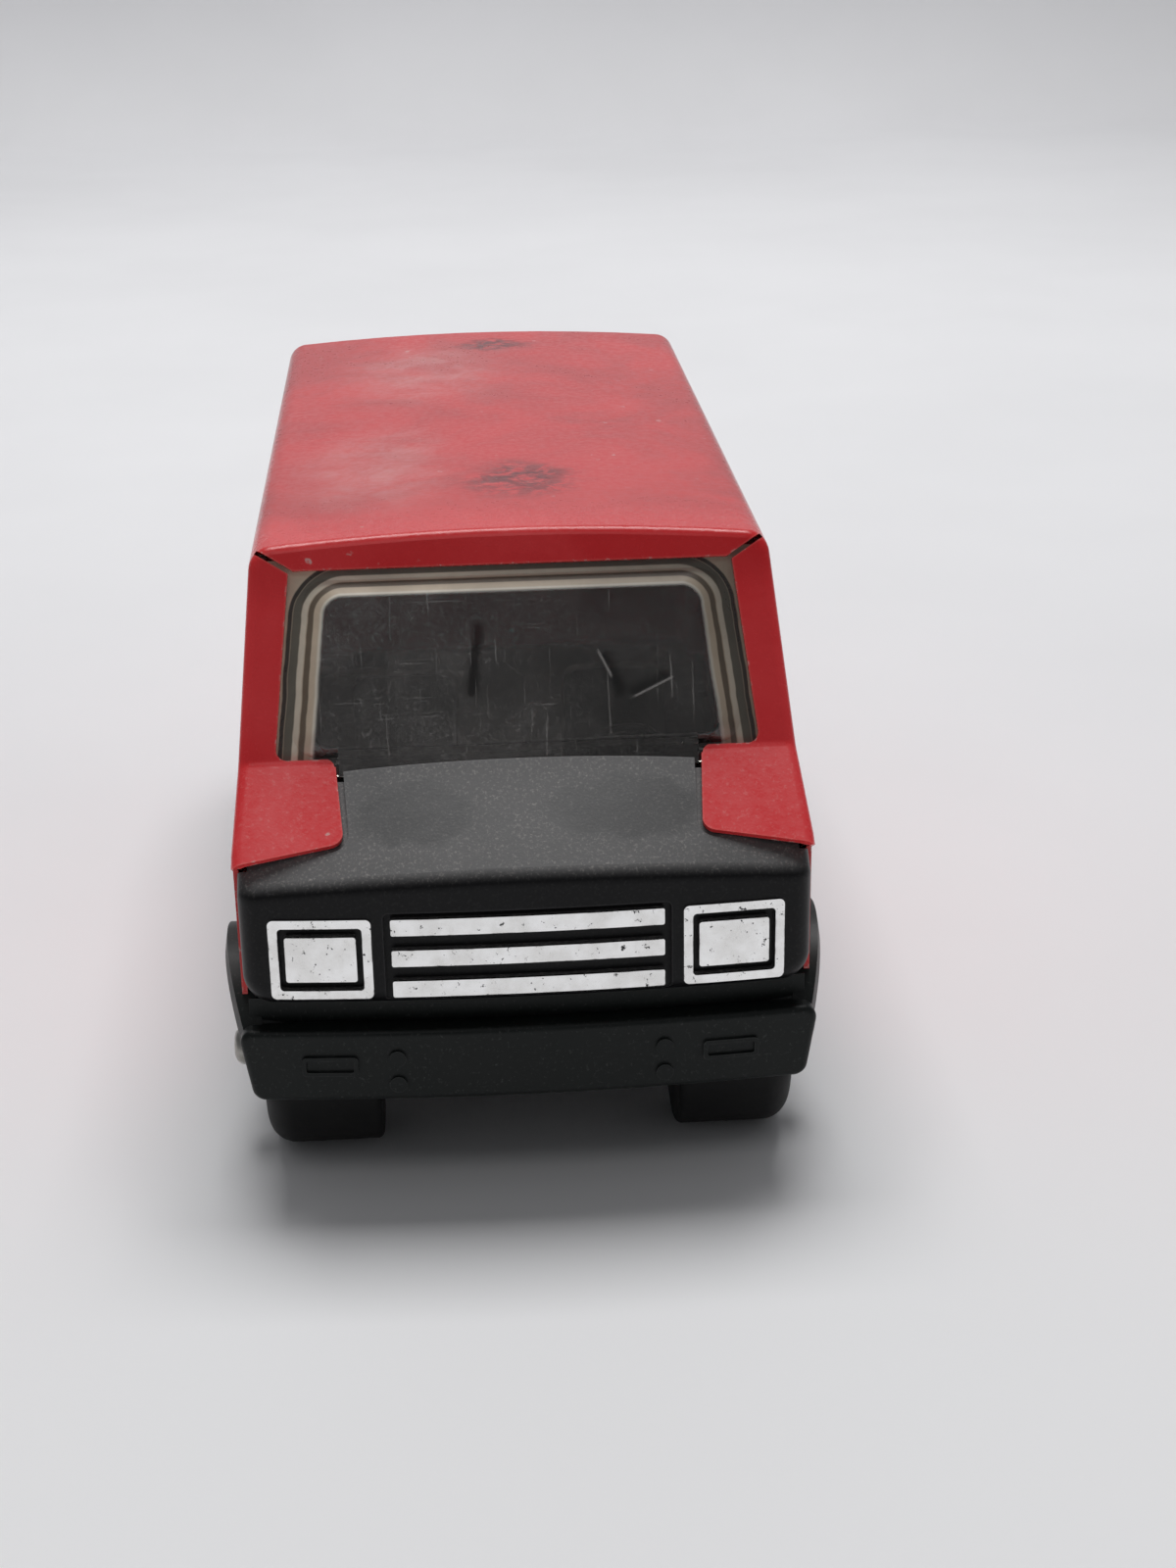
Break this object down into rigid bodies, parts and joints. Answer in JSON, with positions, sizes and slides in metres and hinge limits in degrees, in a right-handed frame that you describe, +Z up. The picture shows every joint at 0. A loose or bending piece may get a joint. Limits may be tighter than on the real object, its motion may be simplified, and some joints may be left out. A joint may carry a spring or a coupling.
{
  "type": "push-along toy van",
  "caption": "Push-along toy van with a pressed-steel body, a moulded nose and chassis, clear windscreen and free-rolling wide tyres.",
  "frame": {"origin": "on the ground under the middle of the overall box", "axes": "the nose points along -Y, +X is the van's left, +Z up"},
  "size_m": [0.0884, 0.1766, 0.0901],
  "materials": {
    "red_paint": "worn gloss enamel",
    "nose_plastic": "dusty satin",
    "chassis_plastic": "satin",
    "clear_plastic": "scratched clear",
    "interior_plastic": "matt",
    "silver_foil": "worn hot foil",
    "rivet_steel": "zinc plated",
    "axle_steel": "drawn rod",
    "hub_silver": "plated plastic",
    "tyre": "smooth moulded"
  },
  "bodies": {
    "chassis": {"body_shell": "red_paint", "rear_door_panel": "red_paint", "front_clip": "nose_plastic", "chassis_base": "chassis_plastic", "windshield_glazing": "clear_plastic", "rear_glazing": "clear_plastic", "interior_tub": "interior_plastic", "steering_wheel": "interior_plastic", "headlight_bezel_left": "silver_foil", "headlight_bezel_right": "silver_foil", "headlight_lens_left": "silver_foil", "headlight_lens_right": "silver_foil", "grille_bars": "silver_foil", "chassis_rivets": "rivet_steel"},
    "front_axle_set": {"front_axle": "axle_steel", "axle_cap_front_left": "axle_steel", "axle_cap_front_right": "axle_steel"},
    "rear_axle_set": {"rear_axle": "axle_steel", "axle_cap_rear_left": "axle_steel", "axle_cap_rear_right": "axle_steel"},
    "wheel_front_left": {"tyre_front_left": "tyre", "wheel_hub_front_left": "hub_silver"},
    "wheel_front_right": {"tyre_front_right": "tyre", "wheel_hub_front_right": "hub_silver"},
    "wheel_rear_left": {"tyre_rear_left": "tyre", "wheel_hub_rear_left": "hub_silver"},
    "wheel_rear_right": {"tyre_rear_right": "tyre", "wheel_hub_rear_right": "hub_silver"}
  },
  "joints": [
    {"name": "front_axle_spin", "type": "hinge", "parent": "chassis", "child": "front_axle_set", "pos_m": [0, -0.068, 0.0147], "axis": [1, 0, 0], "continuous": true},
    {"name": "rear_axle_spin", "type": "hinge", "parent": "chassis", "child": "rear_axle_set", "pos_m": [0, 0.046, 0.0147], "axis": [1, 0, 0], "continuous": true},
    {"name": "wheel_front_left_spin", "type": "hinge", "parent": "front_axle_set", "child": "wheel_front_left", "pos_m": [0.0304, -0.068, 0.0147], "axis": [1, 0, 0], "continuous": true},
    {"name": "wheel_front_right_spin", "type": "hinge", "parent": "front_axle_set", "child": "wheel_front_right", "pos_m": [-0.0304, -0.068, 0.0147], "axis": [1, 0, 0], "continuous": true},
    {"name": "wheel_rear_left_spin", "type": "hinge", "parent": "rear_axle_set", "child": "wheel_rear_left", "pos_m": [0.0304, 0.046, 0.0147], "axis": [1, 0, 0], "continuous": true},
    {"name": "wheel_rear_right_spin", "type": "hinge", "parent": "rear_axle_set", "child": "wheel_rear_right", "pos_m": [-0.0304, 0.046, 0.0147], "axis": [1, 0, 0], "continuous": true}
  ]
}
